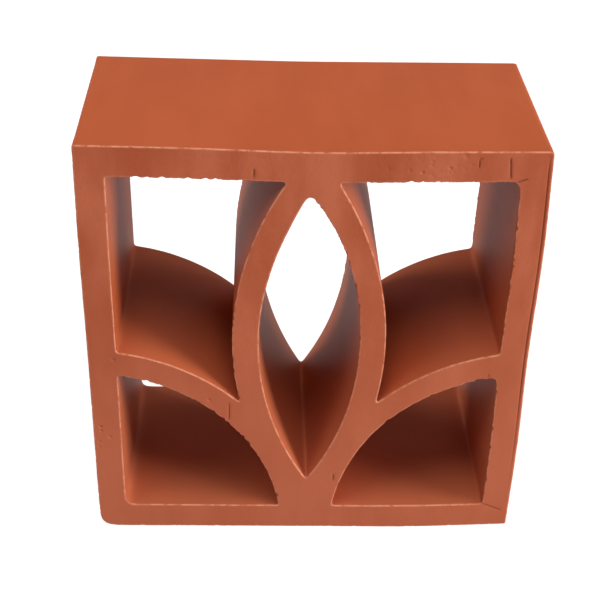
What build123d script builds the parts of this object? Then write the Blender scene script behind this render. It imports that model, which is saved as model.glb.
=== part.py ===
"""Fired clay screen block, pushed through one die and cut to length with a wire.

The block is one solid piece of clay.  Its section is a square ring.  A leaf made
of two curved ribs stands in the middle of it, and a quarter ring springs round
each lower corner, so that blocks laid side by side repeat the pattern.  Five
openings run straight through from the front to the back.

Millimetres.  X is to the right, Y is away from the viewer and Z is up.
The origin is the middle of the bed, the face that the block stands on.
"""

from build123d import *
import os

# Outer size of the block.
block_width = 200.0
block_height = 200.0
block_depth = 100.0

# Thickness of the clay in the square ring.
side_wall = 13.0
top_wall = 14.0
bottom_wall = 13.0

# The pointed opening inside the leaf: its width, the clay left above and below
# its points, and the rib on each side of it.
leaf_width = 45.6
leaf_head = 19.0
leaf_foot = 29.0
leaf_rib = 12.0

# Thickness of the quarter ring round each lower corner.
petal_thickness = 12.0

# Radii that the die leaves at the corners.
outer_corner = 1.5
opening_corner = 2.0
leaf_crown = 4.0
leaf_point = 2.0

# Flat left along every edge of the two cut faces when the wire burr is wiped off.
arris = 0.6

# Each side of the leaf is one arc, found from its chord and its rise.
leaf_height = block_height - leaf_head - leaf_foot
leaf_radius = (leaf_height**2 + leaf_width**2) / (4 * leaf_width)
leaf_offset = leaf_radius - leaf_width / 2
leaf_middle = leaf_foot + leaf_height / 2

# The quarter rings meet on the middle line of the block.
petal_radius = block_width / 2


def pointed_leaf(radius):
    """The lens shared by two equal discs, one centred on each side of the block."""
    left_disc = Pos(-leaf_offset, leaf_middle) * Circle(radius)
    right_disc = Pos(leaf_offset, leaf_middle) * Circle(radius)
    return left_disc & right_disc


def corner_discs(radius):
    """A disc round each lower corner of the block."""
    left_disc = Pos(-block_width / 2, 0) * Circle(radius)
    right_disc = Pos(block_width / 2, 0) * Circle(radius)
    return left_disc + right_disc


def leaf_opening():
    """The opening inside the leaf, blunter at the top than at the foot."""
    leaf = pointed_leaf(leaf_radius)
    leaf = fillet(leaf.vertices().sort_by(Axis.Y)[-1], leaf_crown)
    return fillet(leaf.vertices().sort_by(Axis.Y)[0], leaf_point)


def side_openings():
    """The two openings over the quarter rings and the two under them."""
    room_height = block_height - top_wall - bottom_wall
    room = Rectangle(block_width - 2 * side_wall, room_height)
    beside_leaf = Pos(0, bottom_wall + room_height / 2) * room - pointed_leaf(leaf_radius + leaf_rib)
    over_rings = beside_leaf - corner_discs(petal_radius)
    under_rings = beside_leaf & corner_discs(petal_radius - petal_thickness)
    return fillet(over_rings.vertices(), opening_corner) + fillet(under_rings.vertices(), opening_corner)


def block_section():
    """The cut face of the block, with X across it and Y up it."""
    outline = Pos(0, block_height / 2) * Rectangle(block_width, block_height)
    return fillet(outline.vertices(), outer_corner) - leaf_opening() - side_openings()


def eased(block):
    """The block with a small flat along every edge of its two cut faces."""
    cut_faces = block.faces().filter_by(Plane.XZ)
    return chamfer(cut_faces.edges(), arris)


rear_plane = Plane.XZ.offset(-block_depth / 2)
block = eased(extrude(rear_plane * block_section(), block_depth))
print("clay in the block", round(block.volume / 1000), "cm3, within", block.bounding_box())

os.makedirs("parts", exist_ok=True)
export_step(block, "parts/screen_block.step")
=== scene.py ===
# %% [markdown]
# # A fired clay screen block
# A screen block is one piece of fired clay.  Wet clay is pushed through a steel die,
# so every wall runs straight through from the front to the back, and a wire cuts the
# column into blocks.  The walls keep the smooth, faintly shiny skin that the die
# gives them, and the two cut faces are matte and torn along some of their edges.
#
# The CAD part has the true section and size.  This lesson builds the same block as a
# fine mesh, lets it shrink and lean as it did in the kiln, then tears, scuffs and
# colours its surface, with a painted highlight along the edges and painted shade in
# the grooves.  Lengths are in metres, and most are written as so many mm.

# %% Load the imported block
import math

import bpy
import numpy as np
from mathutils import Matrix, Vector
from mathutils.geometry import delaunay_2d_cdt
from mathutils.kdtree import KDTree


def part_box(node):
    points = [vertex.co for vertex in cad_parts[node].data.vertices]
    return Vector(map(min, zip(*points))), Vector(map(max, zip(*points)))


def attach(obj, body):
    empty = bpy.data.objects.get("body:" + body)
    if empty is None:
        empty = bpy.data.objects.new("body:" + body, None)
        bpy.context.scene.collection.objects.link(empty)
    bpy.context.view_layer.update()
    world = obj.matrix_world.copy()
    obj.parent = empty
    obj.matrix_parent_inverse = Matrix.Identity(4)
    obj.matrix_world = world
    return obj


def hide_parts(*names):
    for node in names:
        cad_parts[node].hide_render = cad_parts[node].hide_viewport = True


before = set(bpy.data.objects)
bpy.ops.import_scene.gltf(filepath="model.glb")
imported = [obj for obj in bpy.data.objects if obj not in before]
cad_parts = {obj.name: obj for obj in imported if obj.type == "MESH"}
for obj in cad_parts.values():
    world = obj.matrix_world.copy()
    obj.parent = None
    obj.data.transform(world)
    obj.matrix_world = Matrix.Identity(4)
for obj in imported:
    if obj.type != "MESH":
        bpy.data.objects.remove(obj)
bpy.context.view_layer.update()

mm = 0.001

# %% [markdown]
# ## The section that the die cuts
# The section is a square ring, a leaf of two curved ribs, and a quarter ring round
# each lower corner.  Every line in it is straight or part of a circle, so it can be
# drawn with two helpers.  The points lie close together, a tenth of a millimetre
# apart, because the corners are rounded afterwards by blurring the line itself.

# %% Sizes of the section
lowest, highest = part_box("screen_block")
width, depth, height = highest - lowest
side_wall = 13.0 * mm
top_wall = 14.0 * mm
bottom_wall = 13.0 * mm
leaf_width = 45.6 * mm
leaf_head = 19.0 * mm
leaf_foot = 29.0 * mm
leaf_rib = 12.0 * mm
petal_thickness = 12.0 * mm

leaf_height = height - leaf_head - leaf_foot
leaf_radius = (leaf_height**2 + leaf_width**2) / (4 * leaf_width)
leaf_offset = leaf_radius - leaf_width / 2
leaf_middle = leaf_foot + leaf_height / 2
petal_radius = width / 2
print("block", round(width / mm), "x", round(depth / mm), "x", round(height / mm), "mm")
print("leaf arcs have a radius of", round(leaf_radius / mm, 1), "mm")

# %% Straight lines, arcs and where two circles cross
step = 0.1 * mm


def straight(start, end):
    """Close points from start towards end, without end itself."""
    start, end = np.array(start), np.array(end)
    count = max(2, int(np.linalg.norm(end - start) / step))
    return start + np.linspace(0, 1, count)[:-1, None] * (end - start)


def arc(centre, start, end):
    """Close points on the shorter arc round centre, without end itself."""
    from_centre = np.array(start) - centre
    to_centre = np.array(end) - centre
    radius = np.linalg.norm(from_centre)
    first = math.atan2(from_centre[1], from_centre[0])
    last = math.atan2(to_centre[1], to_centre[0])
    turn = (last - first + math.pi) % (2 * math.pi) - math.pi
    angles = first + turn * np.linspace(0, 1, max(2, int(abs(turn) * radius / step)))[:-1]
    return centre + radius * np.column_stack([np.cos(angles), np.sin(angles)])


def crossing(centre_a, radius_a, centre_b, radius_b):
    """The higher of the two points where two circles cross."""
    between = centre_b - centre_a
    distance = np.linalg.norm(between)
    along = (radius_a**2 - radius_b**2 + distance**2) / (2 * distance)
    across = math.sqrt(radius_a**2 - along**2)
    foot = centre_a + along * between / distance
    side = np.array([-between[1], between[0]]) / distance
    return max(foot + across * side, foot - across * side, key=lambda point: point[1])


# %% Outlines of the block and its five openings
left_centre = np.array([-leaf_offset, leaf_middle])
right_centre = np.array([leaf_offset, leaf_middle])
rib_radius = leaf_radius + leaf_rib
ring_centre = np.array([-width / 2, 0.0])
inner_ring = petal_radius - petal_thickness

wall_x = -width / 2 + side_wall
ceiling = height - top_wall
rib_x = leaf_offset - math.sqrt(rib_radius**2 - (ceiling - leaf_middle) ** 2)
high_corner = np.array([wall_x, ceiling])
rib_corner = np.array([rib_x, ceiling])
valley = crossing(right_centre, rib_radius, ring_centre, petal_radius)
ring_corner = np.array([wall_x, math.sqrt(petal_radius**2 - side_wall**2)])
under_ring = np.array([wall_x, math.sqrt(inner_ring**2 - side_wall**2)])
low_corner = np.array([wall_x, bottom_wall])
ring_foot = np.array([-width / 2 + math.sqrt(inner_ring**2 - bottom_wall**2), bottom_wall])

foot_left = np.array([-width / 2, 0.0])
foot_right = np.array([width / 2, 0.0])
head_left = np.array([-width / 2, height])
head_right = np.array([width / 2, height])
leaf_top = np.array([0.0, height - leaf_head])
leaf_bottom = np.array([0.0, leaf_foot])

outer = [straight(foot_left, foot_right), straight(foot_right, head_right)]
outer += [straight(head_right, head_left), straight(head_left, foot_left)]
leaf = [arc(left_centre, leaf_bottom, leaf_top), arc(right_centre, leaf_top, leaf_bottom)]
upper = [straight(high_corner, rib_corner), arc(right_centre, rib_corner, valley)]
upper += [arc(ring_centre, valley, ring_corner), straight(ring_corner, high_corner)]
lower = [straight(low_corner, under_ring), arc(ring_centre, under_ring, ring_foot)]
lower += [straight(ring_foot, low_corner)]
mirror = np.array([-1.0, 1.0])

drawn = {
    "outer": np.concatenate(outer),
    "leaf": np.concatenate(leaf),
    "upper_left": np.concatenate(upper),
    "upper_right": (np.concatenate(upper) * mirror)[::-1],
    "lower_left": np.concatenate(lower),
    "lower_right": (np.concatenate(lower) * mirror)[::-1],
}
for name, outline in drawn.items():
    print(name, "has", len(outline), "points")

# %% [markdown]
# ## Rounded corners
# The die rounds each corner a little differently, because it wears.  Averaging the
# points near a corner along the line pulls the corner in and leaves the rest of the
# line where it was, and a wider average gives a rounder corner.

# %% Blur the outline near each corner
corner_radii = {
    "outer": [(foot_left, 7.0), (foot_right, 1.0), (head_right, 1.5), (head_left, 1.0)],
    "leaf": [(leaf_top, 4.0), (leaf_bottom, 2.0)],
    "upper_left": [(high_corner, 1.2), (rib_corner, 2.0), (valley, 2.6), (ring_corner, 1.5)],
    "upper_right": [
        (high_corner * mirror, 4.0),
        (rib_corner * mirror, 2.5),
        (valley * mirror, 3.0),
        (ring_corner * mirror, 1.5),
    ],
    "lower_left": [(low_corner, 4.0), (under_ring, 1.5), (ring_foot, 1.0)],
    "lower_right": [
        (low_corner * mirror, 1.5),
        (under_ring * mirror, 4.0),
        (ring_foot * mirror, 1.0),
    ],
}


# How wide the average is for a radius of 1, and how many such widths it takes in.
spread_for_radius = 0.73
spreads_each_way = 4


def rounded(outline, corner, radius):
    """The outline with one corner rounded to about that radius."""
    spread = spread_for_radius * radius / step
    furthest = int(spreads_each_way * spread)
    offsets = np.arange(-furthest, furthest + 1)
    weights = np.exp(-0.5 * (offsets / spread) ** 2)
    weights /= weights.sum()
    nearest = np.argmin(np.linalg.norm(outline - corner, axis=1))
    touched = offsets + nearest
    neighbours = outline[(touched[:, None] + offsets) % len(outline)]
    result = outline.copy()
    result[touched % len(outline)] = (neighbours * weights[:, None]).sum(1)
    return result


for name, corners in corner_radii.items():
    for corner, radius in corners:
        drawn[name] = rounded(drawn[name], corner, radius * mm)

# %% [markdown]
# ## Shrinking and leaning in the kiln
# Clay shrinks as it dries and fires, and it never does so quite evenly.  The real
# block leans in at its foot, and its top sags a little in the middle.  A few measured
# departures at five heights or widths, joined by a smooth curve and spread across the
# face, bend every outline in the same way, so no wall changes thickness suddenly.

# %% Bend a point of the section as the kiln did
kiln_shrink = 0.99
kiln_lift = 0.9
left_side_in = [1.4, 1.0, 0.7, 0.1, 0.2]
right_side_in = [-1.4, -0.1, -0.1, 1.2, 0.7]
foot_up = [0.1, -0.2, -0.55, -0.8, 0.9]
front_top_up = [1.3, 0.35, -1.2, -0.6, -0.15]
rear_top_up = [2.0, 1.0, 0.2, 0.2, 0.2]

# Where one opening alone departs: place, push to the right and up, and reach, in mm.
local_pushes = {
    "outer": [],
    "leaf": [((0, 181), (-1.2, 0.0), 14)],
    "upper_left": [],
    "upper_right": [((22, 150), (-1.0, 0.0), 35), ((27, 186), (-0.8, 0.0), 9)],
    "lower_left": [],
    "lower_right": [((45, 55), (-0.8, 0.8), 30)],
}


def through(stations, where):
    """A smooth curve through evenly spaced stations, read at where, from 0 to 1."""
    before = 2 * stations[0] - stations[1]
    after = 2 * stations[-1] - stations[-2]
    padded = np.array([before, *stations, after])
    place = np.clip(where, 0, 1) * (len(stations) - 1)
    first = np.minimum(place.astype(int), len(stations) - 2)
    part = place - first
    a, b, c, d = (padded[first + k] for k in range(4))
    bend = 2 * a - 5 * b + 4 * c - d
    twist = 3 * b - a - 3 * c + d
    return 0.5 * (2 * b + (c - a) * part + bend * part**2 + twist * part**3)


def fired(points, back, name="outer"):
    """Points of the section after firing.  back is 0 at the front cut and 1 at the rear."""
    across = points[:, 0] / width + 0.5
    up = points[:, 1] / height
    sideways = (1 - across) * through(left_side_in, up) + across * through(right_side_in, up)
    top = (1 - back) * through(front_top_up, across) + back * through(rear_top_up, across)
    lift = up * top + (1 - up) * through(foot_up, across) + kiln_lift
    moved = points + np.column_stack([sideways, lift]) * mm
    for place, push, reach in local_pushes[name]:
        distance = np.linalg.norm(points / mm - place, axis=1)
        moved += np.exp(-((distance / reach) ** 2))[:, None] * np.array(push) * mm
    return moved * kiln_shrink


# %% [markdown]
# ## Edges that the wire tore and edges that it left clean
# The cutting wire went down and to the left.  Where it left the clay, under the top
# wall, under the quarter rings and on the left side of the right-hand walls, it tore
# small bites out of the edge.  Where it entered, the edge stayed clean and only got
# a small round.  So each point of an outline needs the direction in which the open
# side lies, and from that a number from 0, clean, to 1, torn.

# %% Follow each outline
wire_heading = np.array([-0.45, -0.89])
torn_share = {"outer": 0.3}
direction_blur = 2.5 * mm
tearing_blur = 1.5 * mm

# How far the open side must face the way the wire went before the edge tears, and
# how much further before it tears fully.
tearing_starts = 0.08
tearing_grows_over = 0.33

# Points stand closer where the line turns: by how much, over how many mm, and the
# turning beyond which they come no closer.
crowding = 0.8
crowding_reach = 1.5
most_turning = 1.5


def blurred(values, reach):
    """Values along a closed line, averaged over about that reach."""
    count = len(values)
    offset = np.minimum(np.arange(count), count - np.arange(count)) * step / reach
    weights = np.exp(-0.5 * offset**2)
    weights /= weights.sum()
    spectrum = np.fft.fft(values, axis=0) * np.fft.fft(weights)[:, None]
    return np.fft.ifft(spectrum, axis=0).real


class Outline:
    """A closed line with its open side, its tearing and an even way to walk along it."""

    def __init__(self, name, points):
        self.name = name
        self.points = points
        forward = np.roll(points, -1, 0) - np.roll(points, 1, 0)
        forward /= np.linalg.norm(forward, axis=1)[:, None]
        area = np.sum(points[:, 0] * forward[:, 1] - points[:, 1] * forward[:, 0])
        inward = np.column_stack([-forward[:, 1], forward[:, 0]]) * np.sign(area)
        open_side = -inward if name == "outer" else inward
        self.open_side = blurred(open_side, direction_blur)
        self.open_side /= np.linalg.norm(self.open_side, axis=1)[:, None]
        exit_side = blurred((open_side @ wire_heading)[:, None], tearing_blur)[:, 0]
        tearing = np.clip((exit_side - tearing_starts) / tearing_grows_over, 0, 1)
        self.torn = tearing * torn_share.get(name, 1.0)
        turning = np.linalg.norm(np.roll(forward, -1, 0) - forward, axis=1) / step
        turning = blurred(turning[:, None], mm)[:, 0] * crowding_reach * mm
        pace = 1 + crowding * np.minimum(turning, most_turning)
        self.walk = np.concatenate([[0.0], np.cumsum(pace)])
        self.length = self.walk[-1] * step
        self.walk /= self.walk[-1]

    def count(self, spacing):
        """How many points a ring on this line needs."""
        return max(fewest_points, round(self.length / spacing))

    def read(self, values, where):
        """Values at places from 0 to 1 along the line."""
        closed = np.concatenate([values, values[:1]])
        if values.ndim == 1:
            return np.interp(where, self.walk, closed)
        parts = [np.interp(where, self.walk, closed[:, k]) for k in range(values.shape[1])]
        return np.column_stack(parts)


outlines = [Outline(name, points) for name, points in drawn.items()]
for outline in outlines:
    print(outline.name, round(outline.length / mm), "mm, torn on", round(outline.torn.mean(), 2))

# %% [markdown]
# ## Rings of points from the face to the middle of the wall
# A mesh that shows torn edges needs small faces near the edges and can have large
# ones elsewhere.  So each outline is repeated as rings: a few a little way in on the
# cut face, four round the edge itself, and more and more widely spaced ones down the
# wall.  Every ring lies where the kiln's bend puts it.

# %% Build the rings of one cut end
edge_round = 0.42 * mm
round_lost_where_torn = 0.7

# How far in or down each ring lies, in mm, and in degrees how far round the edge.
face_insets = [2.0, 1.3, 0.85]
lip_insets = [2.5, 2.05, 1.75, 1.45, 0.9]
wall_depths = [0.85, 1.3, 2.0, 3.2, 5.0]
middle_depths = [8.0, 13.0, 20.0, 32.0]
whole_depth = 100.0
quarter_turn = [0, 30, 60, 90]

# How far apart the points of a ring are.
front_spacing = 0.7 * mm
rear_spacing = 1.15 * mm
middle_spacing = 2.0 * mm
fewest_points = 12

columns = {"place": [], "away": [], "cut": [], "edge": [], "torn": [], "rear": []}


def add_ring(outline, spacing, inset, down, cut, rear, round_share=None):
    """Adds one ring, inset into the cut face and down the wall, and returns its vertices."""
    where = np.arange(outline.count(spacing)) / outline.count(spacing)
    away = outline.read(outline.open_side, where)
    torn = outline.read(outline.torn, where)
    if round_share is not None:
        radius = edge_round * (1 - round_lost_where_torn * torn)
        inset = radius * (1 - math.sin(round_share))
        down = radius * (1 - math.cos(round_share))
    down = np.broadcast_to(down, len(where))
    inset = np.broadcast_to(inset, len(where))
    back = down / depth
    if rear:
        back = 1 - back
    flat = fired(outline.read(outline.points, where) - away * inset[:, None], back, outline.name)
    first = sum(len(part) for part in columns["cut"])
    columns["place"].append(np.column_stack([flat[:, 0], (back - 0.5) * depth, flat[:, 1]]))
    columns["away"].append(np.column_stack([away[:, 0], 0 * torn, away[:, 1]]))
    columns["cut"].append(np.full(len(where), cut))
    columns["edge"].append(inset + down)
    columns["torn"].append(torn)
    columns["rear"].append(np.full(len(where), float(rear)))
    return np.arange(first, first + len(where))


def cut_end(outline, rear):
    """Rings from the face to the wall.  The front, which is seen closely, is finer."""
    spacing = rear_spacing if rear else front_spacing
    insets = lip_insets if outline.name == "outer" and not rear else face_insets
    rings = [add_ring(outline, spacing, inset * mm, 0.0, 1.0, rear) for inset in insets]
    for angle in quarter_turn:
        cut = math.cos(math.radians(angle))
        rings.append(add_ring(outline, spacing, 0.0, 0.0, cut, rear, math.radians(angle)))
    for down in wall_depths:
        rings.append(add_ring(outline, spacing, 0.0, down * mm, 0.0, rear))
    return rings


all_depths = middle_depths + [whole_depth / 2]
all_depths += [whole_depth - down for down in reversed(middle_depths)]
walls = []
for outline in outlines:
    front = cut_end(outline, False)
    rear = cut_end(outline, True)
    middle = []
    for down in all_depths:
        middle.append(add_ring(outline, middle_spacing, 0.0, down * mm, 0.0, False))
    walls.append((outline, front + middle + rear[::-1]))
print("rings hold", sum(len(part) for part in columns["cut"]), "points")

# %% [markdown]
# ## Faces between the rings
# Two rings with the same count are joined by squares.  Where the count changes, the
# faces are triangles that close like a zip: at each step the ring that lags behind
# moves on by one point.

# %% Join neighbouring rings
faces = []


def zip_rings(first, second, turned):
    """Adds the faces between two rings, turned so that they look out of the clay."""
    n, m = len(first), len(second)
    if n == m:
        for k in range(n):
            after = (k + 1) % n
            quad = (first[k], first[after], second[after], second[k])
            faces.append(quad[::-1] if turned else quad)
        return
    i = j = 0
    while i < n or j < m:
        if j == m or (i < n and (i + 1) * m <= (j + 1) * n):
            triangle = (first[i % n], first[(i + 1) % n], second[j % m])
            i += 1
        else:
            triangle = (first[i % n], second[(j + 1) % m], second[j % m])
            j += 1
        faces.append(triangle[::-1] if turned else triangle)


for outline, rings in walls:
    x, z = outline.points[:, 0], outline.points[:, 1]
    area = np.sum(x * np.roll(z, -1) - z * np.roll(x, -1))
    turned = (area > 0) == (outline.name == "outer")
    for first, second in zip(rings, rings[1:]):
        zip_rings(first, second, turned)
print("walls hold", len(faces), "faces")

# %% [markdown]
# ## Marks on the front face
# The wire dragged grit along, which left short grooves, and handling left chips
# and pits.  Each one is set down by its place on the face, in mm from the middle and
# from the foot.  They are real hollows in the mesh, so extra points are laid along
# them before the face is divided.  The grooves are darkened later with painted shade.

# %% Grooves and pits
# Start, end, half width and depth, all in mm.
grooves = [
    ((81.7, 195.0), (82.5, 186.8), 0.30, 0.45),
    ((68.9, 194.9), (68.9, 191.5), 0.25, 0.30),
    ((-24.3, 189.7), (-24.4, 186.0), 0.30, 0.40),
    ((-35.5, 71.6), (-35.6, 63.2), 0.22, 0.25),
    ((13.1, 31.5), (13.2, 28.6), 0.25, 0.30),
    ((82.0, 88.4), (82.1, 85.0), 0.25, 0.25),
    ((85.3, 184.5), (89.3, 186.1), 0.25, 0.35),
    ((84.7, 14.7), (94.2, 10.4), 0.22, 0.20),
]
# Place, radius and depth, all in mm.
pits = [
    ((48.4, 198.2), 0.9, 0.40),
    ((63.0, 196.7), 1.0, 0.35),
    ((69.2, 195.2), 0.7, 0.30),
    ((-94.6, 59.2), 0.5, 0.40),
    ((-94.5, 56.9), 0.45, 0.30),
    ((-90.5, 53.5), 0.5, 0.30),
    ((-95.3, 50.6), 0.5, 0.25),
    ((-95.9, 47.8), 0.45, 0.25),
    ((-44.6, 74.3), 0.55, 0.40),
    ((-87.0, 95.9), 0.7, 0.30),
    ((57.0, 191.0), 0.6, 0.35),
    ((45.5, 189.0), 0.7, 0.35),
]
rough_middle = np.array([48.0, 191.0]) * mm
rough_reach = np.array([20.0, 5.0]) * mm

# Where the extra points lie: rows beside a groove, in half widths, and rings round a
# pit, each with its size in radii and its number of points.
groove_spacing = 0.6 * mm
groove_rows = (-2.2, -1.0, 0.0, 1.0, 2.2)
pit_rings = ((0.0, 1), (0.55, 6), (1.0, 9), (1.6, 12))


def distance_to_line(points, start, end):
    """How far each point is from the line between start and end."""
    along = end - start
    part = np.clip((points - start) @ along / (along @ along), 0, 1)
    return np.linalg.norm(points - start - part[:, None] * along, axis=1)


def hollow(points):
    """Depth of the marks at these points, and how far each point is inside a groove, which sets the
    painted shade there.
    """
    sunk = np.zeros(len(points))
    groove_shade = np.zeros(len(points))
    for start, end, half_width, deep in grooves:
        distance = distance_to_line(points, np.array(start) * mm, np.array(end) * mm)
        shape = np.exp(-((distance / (half_width * mm)) ** 2))
        sunk = np.maximum(sunk, shape * deep * mm)
        groove_shade = np.maximum(groove_shade, shape)
    for centre, radius, deep in pits:
        distance = np.linalg.norm(points - np.array(centre) * mm, axis=1)
        shape = np.exp(-((distance / (radius * mm)) ** 4))
        sunk = np.maximum(sunk, shape * deep * mm)
    return sunk, groove_shade


def rough_patch(points):
    """1 in the middle of the pitted patch on the top wall, 0 well outside it."""
    distance = np.linalg.norm((points - rough_middle) / rough_reach, axis=1)
    return np.clip(1.5 - distance, 0, 1)


def extra_points():
    """Close points along each groove and round each pit."""
    found = []
    for start, end, half_width, deep in grooves:
        start = np.array(start) * mm
        along = np.array(end) * mm - start
        length = np.linalg.norm(along)
        side = np.array([-along[1], along[0]]) / length
        for part in np.arange(0, length, groove_spacing) / length:
            for offset in groove_rows:
                found.append(start + part * along + offset * half_width * mm * side)
    for centre, radius, deep in pits:
        for ring, count in pit_rings:
            for k in range(count):
                angle = 2 * math.pi * k / count
                around = np.array([math.cos(angle), math.sin(angle)])
                found.append((np.array(centre) + ring * radius * around) * mm)
    return np.array(found)


# %% [markdown]
# ## The two cut faces
# The inside of a cut face is filled with an even grid of points, staggered so that
# the triangles are nearly equal.  Blender's constrained Delaunay triangulation joins
# them to the innermost rings, and triangles that lie in an opening are left out.

# %% Fill a cut face
# The grids' spacings, the gaps that their points keep from the marks and, as a share
# of the spacing, from the rim, and what counts as one point, in mm.
front_grid = 1.15 * mm
rear_grid = 1.9 * mm
patch_grid = 0.62 * mm
patch_starts = 0.3
gap_to_marks = 0.45 * mm
gap_to_rim = 0.3
one_point = 1e-6
far_from_edge = 10 * mm


def inside(points, loop):
    """Which points lie inside a closed loop."""
    result = np.zeros(len(points), bool)
    x, z = points[:, 0], points[:, 1]
    for (x1, z1), (x2, z2) in zip(loop, np.roll(loop, -1, 0)):
        if z1 == z2:
            continue
        spans = (z1 > z) != (z2 > z)
        result ^= spans & (x < (x2 - x1) * (z - z1) / (z2 - z1) + x1)
    return result


def in_clay(points, loops):
    """Which points lie inside the first loop and in none of the others."""
    result = inside(points, loops[0])
    for loop in loops[1:]:
        result &= ~inside(points, loop)
    return result


def staggered_grid(spacing):
    """Rows of points over the whole face, every second row moved by half a step."""
    rows = []
    for k, z in enumerate(np.arange(0, height, spacing * math.sqrt(0.75))):
        x = np.arange(-width / 2, width / 2, spacing) + (k % 2) * spacing / 2
        rows.append(np.column_stack([x, np.full(len(x), z)]))
    return np.concatenate(rows)


def clear_of(points, others, gap):
    """The points that keep at least that gap from all the others."""
    tree = KDTree(len(others))
    for k, other in enumerate(others):
        tree.insert((other[0], other[1], 0), k)
    tree.balance()
    return np.array([p for p in points if tree.find((p[0], p[1], 0))[2] > gap])


def fill_face(rear):
    """Adds the points and triangles inside one cut face."""
    place = np.concatenate(columns["place"])
    rings = [(rings[-1] if rear else rings[0]) for outline, rings in walls]
    loops = [place[ring][:, [0, 2]] for ring in rings]
    rim = np.concatenate(loops)
    spacing = rear_grid if rear else front_grid
    grid = staggered_grid(spacing)
    if not rear:
        patch = staggered_grid(patch_grid)
        patch = patch[rough_patch(patch) > patch_starts]
        grid = np.concatenate([grid[rough_patch(grid) <= patch_starts], patch])
        marks = extra_points()
        grid = np.concatenate([marks, clear_of(grid, marks, gap_to_marks)])
    grid = grid[in_clay(grid, loops)]
    grid = clear_of(grid, rim, gap_to_rim * spacing)

    corners = [tuple(point) for point in np.concatenate([rim, grid]) / mm]
    edges = []
    first = 0
    for loop in loops:
        edges += [(first + k, first + (k + 1) % len(loop)) for k in range(len(loop))]
        first += len(loop)
    found = delaunay_2d_cdt(corners, edges, [], 0, one_point)
    points = np.array([point[:] for point in found[0]]) * mm
    triangles = np.array(found[2])
    triangles = triangles[in_clay(points[triangles].mean(1), loops)]

    start = sum(len(part) for part in columns["cut"])
    y = depth / 2 if rear else -depth / 2
    columns["place"].append(np.column_stack([grid[:, 0], np.full(len(grid), y), grid[:, 1]]))
    columns["away"].append(np.zeros((len(grid), 3)))
    columns["cut"].append(np.ones(len(grid)))
    columns["edge"].append(np.full(len(grid), far_from_edge))
    columns["torn"].append(np.zeros(len(grid)))
    columns["rear"].append(np.full(len(grid), float(rear)))

    vertex_of = np.concatenate([np.concatenate(rings), np.arange(start, start + len(grid))])
    original = np.array([sources[0] for sources in found[3]])
    for triangle in vertex_of[original[triangles]]:
        faces.append(tuple(triangle[::-1]) if rear else tuple(triangle))
    return len(triangles)


for rear in (False, True):
    print("rear" if rear else "front", "cut face has", fill_face(rear), "triangles")

# %% [markdown]
# ## One closed mesh
# Rings and grids become one mesh, and what is known about each point goes with it as
# attributes: how far it is from the edge, whether it lies on a cut face, how torn its
# edge is and where the open side lies.  Both the Geometry Nodes tree and the material
# read them later.

# %% Make the block's mesh
data = {name: np.concatenate(parts) for name, parts in columns.items()}
counts_as_face = 0.95
front_face = (data["rear"] < 0.5) & (data["cut"] > counts_as_face)
flat = data["place"][:, [0, 2]]
sunk, groove_shade = hollow(flat)

# A lip was folded over along the right-hand edge, and a groove lies behind it.  All
# lengths are in mm: how far in from the edge, half width, depth, how it fades at its
# foot and head, and how far right of the middle it lies.
lip_inset = 1.75
lip_half_width = 0.22
lip_depth = 0.4
lip_foot = 22
lip_foot_fade = 60
lip_head = 199
lip_head_fade = 10
lip_beyond = 90

# The groove grows where the edge faces nearly straight to the right.
turned_right = 0.8
turned_right_fade = 0.15
faces_right = np.clip((data["away"][:, 0] - turned_right) / turned_right_fade, 0, 1)
lip_side = faces_right * (flat[:, 0] > lip_beyond * mm)
above_foot = np.clip((flat[:, 1] / mm - lip_foot) / lip_foot_fade, 0, 1)
below_head = np.clip((lip_head - flat[:, 1] / mm) / lip_head_fade, 0, 1)
from_line = np.abs(data["edge"] / mm - lip_inset)
lip = np.exp(-((from_line / lip_half_width) ** 2)) * lip_side * (above_foot * below_head)
sunk = np.maximum(sunk, lip * lip_depth * mm)
# The groove behind the lip is darkened with painted shade, like the other grooves.
groove_shade = np.maximum(groove_shade, lip)

data["place"][:, 1] += np.where(front_face, sunk, 0)
data["groove_shade"] = np.where(front_face, groove_shade, 0)
data["rough"] = np.where(front_face, rough_patch(flat), 0)

block_mesh = bpy.data.meshes.new("clay_block")
block_mesh.from_pydata(data["place"].tolist(), [], [tuple(map(int, face)) for face in faces])
block_mesh.update()
for name in ("cut", "edge", "torn", "groove_shade", "rough"):
    layer = block_mesh.attributes.new(name, "FLOAT", "POINT")
    layer.data.foreach_set("value", data[name].astype(np.float32))
layer = block_mesh.attributes.new("away", "FLOAT_VECTOR", "POINT")
layer.data.foreach_set("vector", data["away"].astype(np.float32).ravel())
clay_block = bpy.data.objects.new("clay_block", block_mesh)
bpy.context.scene.collection.objects.link(clay_block)
triangle_count = sum(len(face) - 2 for face in faces)
print("block mesh has", len(data["place"]), "points and", triangle_count, "triangles")

# %% [markdown]
# ## Helpers for node trees
# Shader trees and Geometry Nodes trees are built in the same way: add a node, then
# feed each input from a number or from another node's output.  These small helpers
# keep the trees below short enough to read.

# %% Add and feed nodes
def feed(tree, socket, value):
    """Links the socket to another node's output, or gives it a value."""
    if isinstance(value, bpy.types.NodeSocket):
        tree.links.new(value, socket)
    else:
        socket.default_value = value


def add(tree, kind, inputs=None, **settings):
    """Adds a node, sets its properties, and feeds its inputs by name or number."""
    node = tree.nodes.new(kind)
    for key, value in settings.items():
        setattr(node, key, value)
    for key, value in (inputs or {}).items():
        feed(tree, node.inputs[key], value)
    return node


def calc(tree, operation, *values, clamp=False):
    """The output of a Math node."""
    inputs = dict(enumerate(values))
    return add(tree, "ShaderNodeMath", inputs, operation=operation, use_clamp=clamp).outputs[0]


def vector_calc(tree, operation, first, second):
    """The vector output of a Vector Math node."""
    node = add(tree, "ShaderNodeVectorMath", {0: first}, operation=operation)
    feed(tree, node.inputs["Scale" if operation == "SCALE" else 1], second)
    return node.outputs[0]


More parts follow.
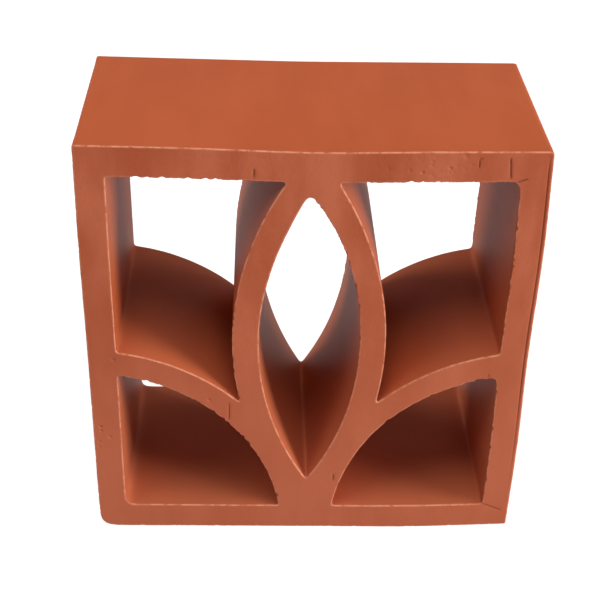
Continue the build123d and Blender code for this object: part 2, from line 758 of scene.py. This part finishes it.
def fade(tree, value, low, high, to_low=0.0, to_high=1.0):
    """A smooth step from to_low, where value is below low, to to_high above high."""
    inputs = {"Value": value, "From Min": low, "From Max": high}
    inputs |= {"To Min": to_low, "To Max": to_high}
    return add(tree, "ShaderNodeMapRange", inputs, interpolation_type="SMOOTHSTEP").outputs[0]


def blend(tree, amount, first, second):
    """A number that goes from first to second as amount goes from 0 to 1."""
    return add(tree, "ShaderNodeMix", {0: amount, 2: first, 3: second}, data_type="FLOAT").outputs[0]


def mix_colour(tree, amount, first, second):
    """A colour that goes from first to second as amount goes from 0 to 1."""
    return add(tree, "ShaderNodeMix", {0: amount, 6: first, 7: second}, data_type="RGBA").outputs[2]


def noise(tree, vector, size, detail=2.0, rough=0.5, seed=0.0):
    """Soft noise from 0 to 1 whose lumps are about that size, in metres."""
    scale = 1 / size if isinstance(size, float) else calc(tree, "DIVIDE", 1.0, size)
    inputs = {"Vector": vector, "W": seed, "Scale": scale, "Detail": detail, "Roughness": rough}
    return add(tree, "ShaderNodeTexNoise", inputs, noise_dimensions="4D").outputs[0]


def cells(tree, vector, size, seed=0.0):
    """Distance to the nearest cell middle in cell widths, and a random number per cell."""
    scale = 1 / size if isinstance(size, float) else calc(tree, "DIVIDE", 1.0, size)
    inputs = {"Vector": vector, "W": seed, "Scale": scale}
    node = add(tree, "ShaderNodeTexVoronoi", inputs, voronoi_dimensions="4D")
    random = add(tree, "ShaderNodeSeparateXYZ", {0: node.outputs["Color"]}).outputs[0]
    return node.outputs["Distance"], random


def stretched(tree, vector, x=1.0, y=1.0, z=1.0):
    """The vector with each part multiplied: below 1 it draws a pattern out that way."""
    return vector_calc(tree, "MULTIPLY", vector, (x, y, z))


def named(tree, name, kind="FLOAT"):
    """A named attribute in a Geometry Nodes tree."""
    node = add(tree, "GeometryNodeInputNamedAttribute", {"Name": name}, data_type=kind)
    return next(socket for socket in node.outputs if socket.enabled)


def new_tree(name, tree_kind, inputs, outputs):
    """A node tree with named inputs and outputs, and the sockets at its two ends."""
    tree = bpy.data.node_groups.new(name, tree_kind)
    for label, kind, value in inputs:
        socket = tree.interface.new_socket(label, in_out="INPUT", socket_type=kind)
        if value is not None:
            socket.default_value = value
    for label, kind in outputs:
        tree.interface.new_socket(label, in_out="OUTPUT", socket_type=kind)
    return tree, add(tree, "NodeGroupInput").outputs, add(tree, "NodeGroupOutput").inputs


def use_group(tree, group, **inputs):
    """Adds a shader group to a tree, feeds its inputs and gives back its outputs."""
    node = tree.nodes.new("ShaderNodeGroup")
    node.node_tree = group
    for key, value in inputs.items():
        feed(tree, node.inputs[key.replace("_", " ").title()], value)
    return node.outputs


def apply_tree(piece, tree, values):
    """Runs a tree on a piece with these inputs and keeps the result as a plain mesh."""
    modifier = piece.modifiers.new(tree.name, "NODES")
    modifier.node_group = tree
    for item in tree.interface.items_tree:
        if item.item_type == "SOCKET" and item.in_out == "INPUT" and item.name in values:
            modifier[item.identifier] = values[item.name]
    depsgraph = bpy.context.evaluated_depsgraph_get()
    evaluated = piece.evaluated_get(depsgraph)
    result = bpy.data.meshes.new_from_object(
        evaluated, preserve_all_data_layers=True, depsgraph=depsgraph
    )
    piece.modifiers.remove(modifier)
    piece.data = result
    result.name = piece.name


# %% [markdown]
# ## Colours of the clay
# Fired clay gets its red from iron.  The skin that the die smoothed is a little more
# orange, and the cut faces are pinker and paler, because the wire left them open and
# dusty.  Colours are written as they look on screen and turned into linear values.

# %% Name the colours
def shade(red, green, blue):
    """A screen colour, 0 to 255, as the linear value that a shader wants."""
    parts = []
    for value in (red, green, blue):
        value /= 255
        parts.append(value / 12.92 if value <= 0.04045 else ((value + 0.055) / 1.055) ** 2.4)
    return (*parts, 1.0)


die_skin = shade(186, 88, 46)
die_skin_deep = shade(180, 83, 42)
die_skin_paler = shade(197, 112, 80)
cut_clay = shade(174, 86, 56)
cut_clay_pale = shade(194, 105, 75)
# Pale grit and rubbed edges, and along the edges also a painted highlight.
pale_clay_and_highlight = shade(222, 148, 118)
# Painted shade for the inside of grooves.
groove_shade_colour = shade(82, 32, 22)

# %% [markdown]
# ## Shader groups for the clay
# The smooth skin and the cut face are the same clay with different colours and grain,
# so the patchy colour is one group with named inputs and outputs that both use.  The
# specks of grit are a second group.  A group gives only colours and values.  The
# shader itself stays in the material.

# %% Patchy colour
patchy_clay, given, result = new_tree(
    "patchy clay",
    "ShaderNodeTree",
    [
        ("Vector", "NodeSocketVector", None),
        ("Main", "NodeSocketColor", cut_clay),
        ("Patch", "NodeSocketColor", cut_clay_pale),
        ("Patch Size", "NodeSocketFloat", 30 * mm),
        ("Grain Size", "NodeSocketFloat", 1.2 * mm),
        ("Grain Amount", "NodeSocketFloat", 0.1),
    ],
    [("Color", "NodeSocketColor"), ("Grain", "NodeSocketFloat")],
)
tree = patchy_clay
patches = noise(tree, given["Vector"], given["Patch Size"], detail=3.0, rough=0.55)
patches = fade(tree, patches, 0.35, 0.68)
grain = noise(tree, given["Vector"], given["Grain Size"], detail=4.0, rough=0.7, seed=3.0)
colour = mix_colour(tree, patches, given["Main"], given["Patch"])
swing = calc(tree, "MULTIPLY", calc(tree, "SUBTRACT", grain, 0.5), given["Grain Amount"])
swing = calc(tree, "MULTIPLY_ADD", swing, 2.0, 1.0)
feed(tree, result["Color"], vector_calc(tree, "SCALE", colour, swing))
feed(tree, result["Grain"], grain)
print("group", patchy_clay.name, "has", len(tree.nodes), "nodes")

# %% Specks of pale grit
pale_grit, given, result = new_tree(
    "pale grit",
    "ShaderNodeTree",
    [
        ("Vector", "NodeSocketVector", None),
        ("Spacing", "NodeSocketFloat", 6 * mm),
        ("Size", "NodeSocketFloat", 0.3 * mm),
        ("Share", "NodeSocketFloat", 0.25),
    ],
    [("Mask", "NodeSocketFloat")],
)
tree = pale_grit
distance, random = cells(tree, given["Vector"], given["Spacing"], seed=5.0)
speck_reach = calc(tree, "DIVIDE", given["Size"], given["Spacing"])
near = calc(tree, "SUBTRACT", 1.5, calc(tree, "DIVIDE", distance, speck_reach), clamp=True)
chosen = calc(tree, "LESS_THAN", random, given["Share"])
feed(tree, result["Mask"], calc(tree, "MULTIPLY", near, chosen))
print("group", pale_grit.name, "has", len(tree.nodes), "nodes")

# %% [markdown]
# ## The material of the block
# One material covers the block.  The attribute "cut" blends the satin skin of the die
# into the matte face of the wire.  Along clean edges the clay is rubbed pale, and the
# same pale colour paints the highlight that the edge catches; along torn edges it is
# crumbly, and inside a groove painted shade darkens it.

# %% What the material knows about each point
def point_value(tree, name):
    """A value that the mesh holds at each of its points."""
    return add(tree, "ShaderNodeAttribute", attribute_name=name).outputs["Fac"]


fired_clay = bpy.data.materials.new("fired_clay")
fired_clay.use_nodes = True
fired_clay.diffuse_color = cut_clay
tree = fired_clay.node_tree
shader = tree.nodes["Principled BSDF"]
place = add(tree, "ShaderNodeTexCoord").outputs["Object"]
cut = point_value(tree, "cut")
edge = point_value(tree, "edge")
torn = point_value(tree, "torn")
groove_shade = point_value(tree, "groove_shade")

# %% Skin and cut face, paler towards the foot
paler_below = 40 * mm
paling_ends = 160 * mm
most_paling = 0.6

skin = use_group(
    tree,
    patchy_clay,
    vector=stretched(tree, place, y=0.3),
    main=die_skin,
    patch=die_skin_deep,
    patch_size=22 * mm,
    grain_size=0.9 * mm,
    grain_amount=0.05,
)
face = use_group(
    tree,
    patchy_clay,
    vector=stretched(tree, place, z=0.35),
    main=cut_clay,
    patch=cut_clay_pale,
    patch_size=26 * mm,
    grain_size=1.0 * mm,
    grain_amount=0.16,
)
up = add(tree, "ShaderNodeSeparateXYZ", {0: place}).outputs["Z"]
# The colour of skin and cut face turns paler and less red towards the foot.
paler_foot = fade(tree, up, paler_below, paling_ends, to_low=most_paling, to_high=0.0)
face_paler_low = mix_colour(tree, paler_foot, face["Color"], cut_clay_pale)
skin_paler_low = mix_colour(tree, paler_foot, skin["Color"], die_skin_paler)
colour = mix_colour(tree, fade(tree, cut, 0.2, 0.9), skin_paler_low, face_paler_low)

# %% Rubbed edges with a painted highlight, grit, and painted shade in grooves
rubbed_and_highlit_fully = 0.2 * mm
rubbed_and_highlit_up_to = 0.9 * mm
grit_strength = 0.6
groove_shade_strength = 0.75

# Clean edges are rubbed pale, and this pale band also paints the highlight that light gives a
# rounded edge.
edge_noise = noise(tree, place, 3.0 * mm, detail=3.0, rough=0.6, seed=2.0)
near_edge = fade(tree, edge, rubbed_and_highlit_fully, rubbed_and_highlit_up_to, to_low=1.0, to_high=0.0)
rubbed_and_highlit = calc(tree, "MULTIPLY", near_edge, fade(tree, edge_noise, 0.3, 0.6))
less_where_torn = calc(tree, "MULTIPLY_ADD", torn, -0.5, 0.95)
rubbed_and_highlit = calc(tree, "MULTIPLY", rubbed_and_highlit, less_where_torn)
colour = mix_colour(tree, rubbed_and_highlit, colour, pale_clay_and_highlight)

grit = use_group(tree, pale_grit, vector=place)["Mask"]
grit = calc(tree, "MULTIPLY", grit, grit_strength)
colour = mix_colour(tree, grit, colour, pale_clay_and_highlight)
# Grooves are darkened with painted shade.
painted_groove_shade = calc(tree, "MULTIPLY", groove_shade, groove_shade_strength)
colour = mix_colour(tree, painted_groove_shade, colour, groove_shade_colour)
feed(tree, shader.inputs["Base Color"], colour)

# %% Satin skin and matte face
shine = 0.1
face_rough = fade(tree, face["Grain"], 0.2, 0.8, to_low=0.85, to_high=0.95)
skin_rough = fade(tree, skin["Grain"], 0.2, 0.8, to_low=0.50, to_high=0.60)
feed(tree, shader.inputs["Roughness"], blend(tree, cut, skin_rough, face_rough))
shader.inputs["Specular IOR Level"].default_value = shine

# %% Fine lines and grain, too small for the mesh
bump_strength = 0.5
bump_height = 0.12 * mm

drag_lines = noise(tree, stretched(tree, place, z=0.08), 0.7 * mm, seed=6.0)
fine_grain = noise(tree, place, 0.5 * mm, detail=3.0, rough=0.65, seed=7.0)
cut_height = calc(tree, "ADD", calc(tree, "MULTIPLY", drag_lines, 0.5), fine_grain)
skin_lines = noise(tree, stretched(tree, place, y=0.02), 1.2 * mm, seed=9.0)
faint_lines = calc(tree, "MULTIPLY", skin_lines, 0.25)
faint_grain = calc(tree, "MULTIPLY", fine_grain, 0.12)
skin_height = calc(tree, "ADD", faint_lines, faint_grain)
bump = add(tree, "ShaderNodeBump", {"Height": blend(tree, cut, skin_height, cut_height)})
bump.inputs["Strength"].default_value = bump_strength
bump.inputs["Distance"].default_value = bump_height
feed(tree, shader.inputs["Normal"], bump.outputs[0])
print("material", fired_clay.name, "has", len(tree.nodes), "nodes")

# %% [markdown]
# ## Tearing the edges with Geometry Nodes
# The bites repeat along every torn edge, and each one differs.  Voronoi cells give
# them: each cell that meets the edge takes a bite whose depth is random.  The points
# are pushed back into the clay by the bite, less and less away from the edge, so the
# bite is a hollow in the wall as well.  The same tree gives the whole surface the
# slow waves that clay has, and pits the rough patch on the top wall.

# %% Build the relief tree
relief, given, result = new_tree(
    "relief",
    "GeometryNodeTree",
    [
        ("Geometry", "NodeSocketGeometry", None),
        ("Bite Depth", "NodeSocketFloat", 1.1 * mm),
        ("Bite Length", "NodeSocketFloat", 2.2 * mm),
        ("Bite Reach", "NodeSocketFloat", 2.2 * mm),
        ("Edge Wander", "NodeSocketFloat", 0.15 * mm),
        ("Wave Depth", "NodeSocketFloat", 0.16 * mm),
        ("Wave Length", "NodeSocketFloat", 24 * mm),
        ("Pit Depth", "NodeSocketFloat", 0.35 * mm),
        ("Pit Size", "NodeSocketFloat", 1.5 * mm),
        ("Seed", "NodeSocketFloat", 11.0),
        ("Clay", "NodeSocketMaterial", None),
    ],
    [("Geometry", "NodeSocketGeometry")],
)
relief.is_modifier = True
tree = relief
here = add(tree, "GeometryNodeInputPosition").outputs[0]
outwards = add(tree, "GeometryNodeInputNormal").outputs[0]
away = named(tree, "away", "FLOAT_VECTOR")
edge = named(tree, "edge")
torn = named(tree, "torn")

# Bites along the torn edges, and a slight wander of every edge.
distance, random = cells(tree, here, given["Bite Length"], given["Seed"])
scoop = fade(tree, distance, 0.25, 0.75, to_low=1.0, to_high=0.0)
depth_of_cell = fade(tree, random, 0.2, 1.0, to_low=0.15, to_high=1.0)
scoop = calc(tree, "MULTIPLY", scoop, depth_of_cell)
crumbly = noise(tree, here, 0.9 * mm, rough=0.6, seed=given["Seed"])
bite = calc(tree, "ADD", scoop, calc(tree, "MULTIPLY_ADD", crumbly, 0.9, -0.45))
bite = calc(tree, "MULTIPLY", bite, torn)
share_of_reach = calc(tree, "DIVIDE", edge, given["Bite Reach"])
closeness = calc(tree, "SUBTRACT", 1.0, share_of_reach, clamp=True)
closeness = calc(tree, "MULTIPLY", closeness, closeness)
wander = noise(tree, here, 5.0 * mm, detail=3.0, rough=0.55, seed=given["Seed"])
wander = calc(tree, "MULTIPLY", calc(tree, "SUBTRACT", wander, 0.5), given["Edge Wander"])
push = calc(tree, "MULTIPLY_ADD", bite, given["Bite Depth"], wander)
push = calc(tree, "MULTIPLY", calc(tree, "MULTIPLY", push, closeness), -1.0)
sideways = vector_calc(tree, "SCALE", away, push)

# Slow waves everywhere, and pits in the rough patch.
wave = noise(tree, here, given["Wave Length"], seed=given["Seed"])
wave = calc(tree, "MULTIPLY", calc(tree, "SUBTRACT", wave, 0.5), given["Wave Depth"])
distance, random = cells(tree, here, given["Pit Size"], given["Seed"])
pit = fade(tree, distance, 0.2, 0.6, to_low=1.0, to_high=0.0)
pit = calc(tree, "MULTIPLY", pit, fade(tree, random, 0.5, 0.9))
pit = calc(tree, "MULTIPLY", pit, named(tree, "rough"))
pit = calc(tree, "MULTIPLY", pit, given["Pit Depth"])
along_normal = vector_calc(tree, "SCALE", outwards, calc(tree, "SUBTRACT", wave, pit))

offset = vector_calc(tree, "ADD", sideways, along_normal)
moved = add(tree, "GeometryNodeSetPosition", {"Geometry": given["Geometry"], "Offset": offset})
real = add(tree, "GeometryNodeRealizeInstances", {"Geometry": moved.outputs[0]})
finished = add(tree, "GeometryNodeSetMaterial", {"Geometry": real.outputs[0]})
feed(tree, finished.inputs["Material"], given["Clay"])
feed(tree, result["Geometry"], finished.outputs[0])
print("tree", relief.name, "has", len(tree.nodes), "nodes")

# %% Run it on the block
apply_tree(clay_block, relief, {"Clay": fired_clay})
clay_block.data.shade_smooth()
print("block after the relief:", len(clay_block.data.vertices), "points")

# %% [markdown]
# ## Floor, light and camera
# The block stands on a plain white floor under soft studio light.  The floor glows
# where it is seen directly or in a reflection, so it looks white without throwing
# extra light on the clay, and it keeps a soft shadow.  The world does the same.  The
# camera stands where the photographer stood.

# %% Floor
floor_reach = 1.3
floor_grey = 0.3
floor_glow = 0.88
floor_mesh = bpy.data.meshes.new("floor")
signs = [(-1, -1), (1, -1), (1, 1), (-1, 1)]
corners = [(x * floor_reach, y * floor_reach, 0) for x, y in signs]
floor_mesh.from_pydata(corners, [], [(0, 1, 2, 3)])
floor = bpy.data.objects.new("floor", floor_mesh)
bpy.context.scene.collection.objects.link(floor)


def seen_directly(tree):
    """1 for rays from the camera, a reflection or a clear body, 0 for light that bounces."""
    path = add(tree, "ShaderNodeLightPath").outputs
    seen = calc(tree, "MAXIMUM", path["Is Camera Ray"], path["Is Glossy Ray"])
    return calc(tree, "MAXIMUM", seen, path["Is Transmission Ray"])


floor_white = bpy.data.materials.new("floor_white")
floor_white.use_nodes = True
tree = floor_white.node_tree
tree.nodes.remove(tree.nodes["Principled BSDF"])
grey = (floor_grey, floor_grey, floor_grey, 1.0)
matte = add(tree, "ShaderNodeBsdfDiffuse", {"Color": grey})
glow_strength = calc(tree, "MULTIPLY", seen_directly(tree), floor_glow)
glow = add(tree, "ShaderNodeEmission", {"Strength": glow_strength})
both = add(tree, "ShaderNodeAddShader", {0: matte.outputs[0], 1: glow.outputs[0]})
feed(tree, tree.nodes["Material Output"].inputs["Surface"], both.outputs[0])
floor_mesh.materials.append(floor_white)
print("floor is", 2 * floor_reach, "m wide")

# %% World
world = bpy.data.worlds.new("studio")
bpy.context.scene.world = world
world.use_nodes = True
tree = world.node_tree
background = tree.nodes["Background"]
background.inputs["Color"].default_value = (1.0, 1.0, 1.0, 1.0)
feed(tree, background.inputs["Strength"], seen_directly(tree))
print("world", world.name, "is white where it is seen and dark for bounced light")

# %% Soft lamps
block_middle = Vector((0.0, 0.0, 0.1))

# Each square lamp faces the block: its name, place and width in metres, and watts.
lamps = [
    ("steep", (0.0, -0.5, 1.6), 0.8, 9.4),
    ("top", (0.0, 0.1, 1.7), 0.8, 4.2),
    ("right side", (1.7, -0.75, 0.45), 0.8, 33.0),
    ("left side", (-1.2, -0.7, 1.2), 0.8, 4.6),
    ("low front", (0.2, -1.8, 0.3), 0.5, 7.0),
    ("back left", (-1.7, 0.75, 0.7), 0.8, 15.0),
    ("back right", (1.7, 0.75, 0.7), 0.8, 6.0),
]
for name, lamp_place, lamp_width, watts in lamps:
    lamp = bpy.data.lights.new(name, "AREA")
    lamp.size = lamp_width
    lamp.energy = watts
    holder = bpy.data.objects.new(name, lamp)
    holder.location = lamp_place
    towards = block_middle - Vector(lamp_place)
    holder.rotation_euler = towards.to_track_quat("-Z", "Y").to_euler()
    bpy.context.scene.collection.objects.link(holder)
print(len(lamps), "lamps")

# %% Camera
# Place in mm, three turns in radians, and the lens and film width in mm.
camera_place = Vector((-21.3, -568.3, 434.7)) * mm
camera_roll = 0.021
camera_pitch = 0.535
camera_heading = 0.033
lens_length = 82.96
film_width = 36.0
nearest_seen = 10 * mm
camera_data = bpy.data.cameras.new("camera")
camera_data.lens = lens_length
camera_data.sensor_width = film_width
camera_data.clip_start = nearest_seen
camera = bpy.data.objects.new("camera", camera_data)
turn = Matrix.Rotation(camera_roll, 3, "Y") @ Matrix.Rotation(camera_pitch, 3, "X")
turn = turn @ Matrix.Rotation(camera_heading, 3, "Z")
right, forward, upward = turn[0], turn[1], turn[2]
facing = Matrix((right, upward, -forward)).transposed().to_4x4()
camera.matrix_world = Matrix.Translation(camera_place) @ facing
bpy.context.scene.collection.objects.link(camera)
bpy.context.scene.camera = camera
bpy.context.scene.view_settings.view_transform = "Standard"
print("camera stands", round(camera_place.length, 2), "m from the block")

# %% Tie the pieces to the CAD part and finish
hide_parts("screen_block")
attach(clay_block, "root")
